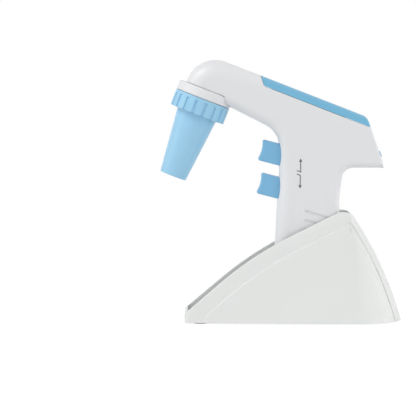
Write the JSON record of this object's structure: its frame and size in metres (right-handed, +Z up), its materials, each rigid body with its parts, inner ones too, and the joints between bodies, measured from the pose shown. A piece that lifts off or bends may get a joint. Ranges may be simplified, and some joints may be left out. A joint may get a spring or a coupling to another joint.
{
  "type": "pipette controller with desk stand",
  "caption": "Cordless pipette controller: white pistol grip, two blue triggers, blue top cover and ribbed nosepiece, parked upright in an open white desk stand.",
  "frame": {"origin": "centre of the footprint on the desk, in the stand's mid plane", "axes": "+Z up out of the desk; +X from the nose towards the display; +Y to the side that the screws enter, away from the camera"},
  "size_m": [0.1805, 0.0838, 0.1957],
  "materials": {
    "white_abs": "satin",
    "stand_abs": "satin",
    "sky_blue_abs": "satin",
    "light_blue_polypropylene": "satin",
    "smoked_window": "polished",
    "silicone": "matte",
    "black_rubber": "matte",
    "circuit_board": "satin",
    "black_plastic": "satin",
    "steel": "satin",
    "brass": "satin",
    "cell_sleeve": "satin film sleeve",
    "grey_nylon": "satin",
    "filter_membrane": "matte"
  },
  "bodies": {
    "stand": {"stand_shell": "stand_abs", "stand_base_plate": "stand_abs", "stand_cradle": "grey_nylon", "stand_foot_1": "black_rubber", "stand_foot_2": "black_rubber", "stand_foot_3": "black_rubber", "stand_foot_4": "black_rubber", "stand_screw_1": "steel", "stand_screw_2": "steel", "stand_screw_3": "steel", "stand_screw_4": "steel"},
    "controller": {"housing_left": "white_abs", "housing_right": "white_abs", "housing_screw_1": "steel", "housing_screw_2": "steel", "housing_screw_3": "steel", "housing_screw_4": "steel", "housing_screw_5": "steel", "top_cover": "sky_blue_abs", "handle_end_cap": "white_abs", "charge_socket": "black_plastic", "nose_collar": "white_abs", "display_lens": "smoked_window", "lcd_module": "black_plastic", "display_board": "circuit_board", "speed_switch": "black_plastic", "circuit_board": "circuit_board", "pump_motor": "steel", "pump_head": "grey_nylon", "pump_mount_front": "black_rubber", "pump_mount_rear": "black_rubber", "battery_cell": "cell_sleeve", "battery_tray": "black_plastic", "valve_block": "grey_nylon", "aspirate_switch": "black_plastic", "dispense_switch": "black_plastic", "nose_hose": "silicone", "suction_hose": "silicone", "pressure_hose": "silicone", "aspirate_spring": "steel", "dispense_spring": "steel"},
    "aspirate_trigger": {"aspirate_trigger": "sky_blue_abs", "aspirate_stem": "brass"},
    "dispense_trigger": {"dispense_trigger": "sky_blue_abs", "dispense_stem": "brass"},
    "speed_button": {"speed_button": "sky_blue_abs"},
    "pipette_holder": {"pipette_adapter": "silicone", "nose_filter": "filter_membrane", "nose_seal": "black_rubber"},
    "nosepiece": {"nosepiece": "light_blue_polypropylene"}
  },
  "joints": [
    {"name": "controller_lift", "type": "slide", "parent": "stand", "child": "controller", "axis": [0, 0, 1], "range_m": [0, 0.11]},
    {"name": "aspirate_press", "type": "slide", "parent": "controller", "child": "aspirate_trigger", "axis": [0.9681, 0, -0.2504], "range_m": [0, 0.006], "stiffness_N_per_m": 250, "springref_m": -0.004, "deforming": ["aspirate_spring"]},
    {"name": "dispense_press", "type": "slide", "parent": "controller", "child": "dispense_trigger", "axis": [0.9681, 0, -0.2504], "range_m": [0, 0.006], "stiffness_N_per_m": 250, "springref_m": -0.004, "deforming": ["dispense_spring"]},
    {"name": "speed_press", "type": "slide", "parent": "controller", "child": "speed_button", "axis": [-0.9466, 0, -0.3223], "range_m": [0, 0.0008], "stiffness_N_per_m": 800, "springref_m": -0.001},
    {"name": "holder_travel", "type": "slide", "parent": "controller", "child": "pipette_holder", "axis": [-0.3633, 0, -0.9317], "range_m": [0, 0.0075]},
    {"name": "nosepiece_twist", "type": "hinge", "parent": "pipette_holder", "child": "nosepiece", "pos_m": [-0.0585, 0, 0.16685], "axis": [-0.3633, 0, -0.9317], "range_deg": [0, 900]}
  ],
  "couplings": [
    {"joint": "holder_travel", "follows": "nosepiece_twist", "m_per_rad": 0.00047746}
  ]
}
